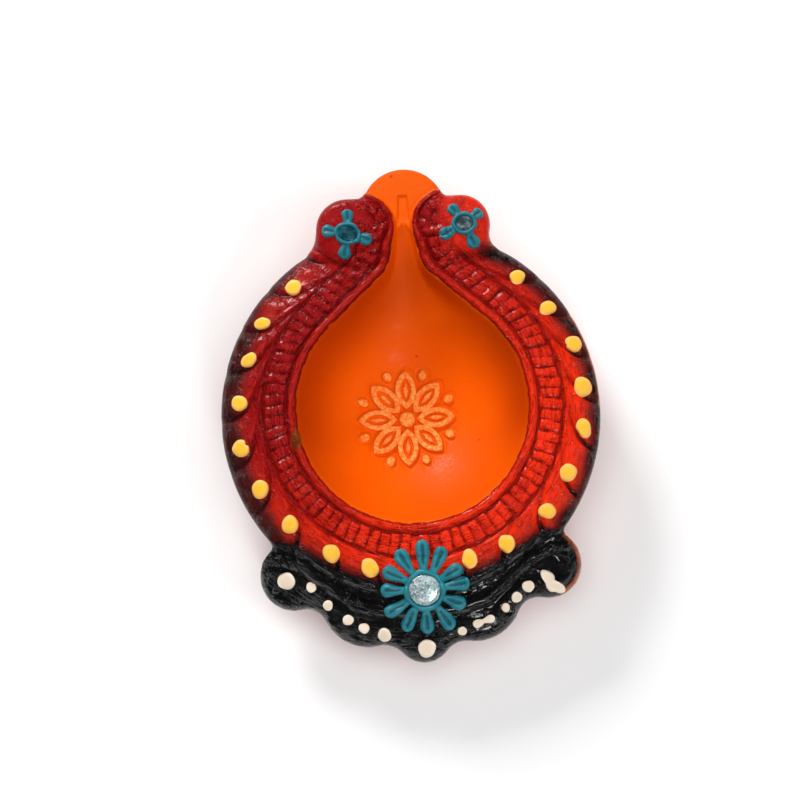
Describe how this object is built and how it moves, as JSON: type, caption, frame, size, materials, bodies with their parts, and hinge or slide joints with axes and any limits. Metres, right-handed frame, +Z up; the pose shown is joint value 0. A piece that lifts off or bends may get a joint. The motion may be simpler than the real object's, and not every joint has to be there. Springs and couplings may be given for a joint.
{
  "type": "diya oil lamp",
  "caption": "Hand-painted clay oil lamp with a teardrop bowl, wick spout, domed relief rim, scalloped skirt, raised paint drops and flowers of squeezed paint round glued stones.",
  "frame": {"origin": "middle of the foot's underside, below the bowl", "axes": "+Z up, +Y along the length towards the wick spout, +X to the right seen from the skirt"},
  "size_m": [0.0888, 0.1157, 0.0244],
  "materials": {
    "painted_clay": "brushed acrylic paint over fired clay: orange bowl and spout, red rim, glossy black skirt",
    "teal_paint": "thick squeezed dimensional paint, satin",
    "yellow_paint": "raised acrylic drops, satin",
    "cream_paint": "raised acrylic drops, satin",
    "glitter_stone": "low domed stone over silver glitter",
    "dark_mirror": "small dark mirror chip",
    "glue": "dried craft glue"
  },
  "bodies": {
    "root": {"clay_body": "painted_clay", "front_gem": "glitter_stone", "front_bezel": "teal_paint", "front_petal_01": "teal_paint", "front_petal_02": "teal_paint", "front_petal_03": "teal_paint", "front_petal_04": "teal_paint", "front_petal_05": "teal_paint", "front_petal_06": "teal_paint", "front_petal_07": "teal_paint", "front_petal_08": "teal_paint", "front_petal_09": "teal_paint", "front_petal_10": "teal_paint", "front_petal_11": "teal_paint", "front_petal_12": "teal_paint", "left_mirror": "dark_mirror", "left_bezel": "teal_paint", "left_petal_01": "teal_paint", "left_petal_02": "teal_paint", "left_petal_03": "teal_paint", "left_petal_04": "teal_paint", "right_mirror": "dark_mirror", "right_bezel": "teal_paint", "right_petal_01": "teal_paint", "right_petal_02": "teal_paint", "right_petal_03": "teal_paint", "right_petal_04": "teal_paint", "yellow_dot_01": "yellow_paint", "yellow_dot_02": "yellow_paint", "yellow_dot_03": "yellow_paint", "yellow_dot_04": "yellow_paint", "yellow_dot_05": "yellow_paint", "yellow_dot_06": "yellow_paint", "yellow_dot_07": "yellow_paint", "yellow_dot_08": "yellow_paint", "yellow_dot_09": "yellow_paint", "yellow_dot_10": "yellow_paint", "yellow_dot_11": "yellow_paint", "yellow_dot_12": "yellow_paint", "yellow_dot_13": "yellow_paint", "yellow_dot_14": "yellow_paint", "yellow_dot_15": "yellow_paint", "yellow_dot_16": "yellow_paint", "yellow_dot_17": "yellow_paint", "yellow_dot_18": "yellow_paint", "white_mark_01": "cream_paint", "white_mark_02": "cream_paint", "white_mark_03": "cream_paint", "white_mark_04": "cream_paint", "white_mark_05": "cream_paint", "white_mark_06": "cream_paint", "white_mark_07": "cream_paint", "white_mark_08": "cream_paint", "white_mark_09": "cream_paint", "white_mark_10": "cream_paint", "white_mark_11": "cream_paint", "white_mark_12": "cream_paint", "white_mark_13": "cream_paint", "stone_glue": "glue"}
  },
  "joints": []
}
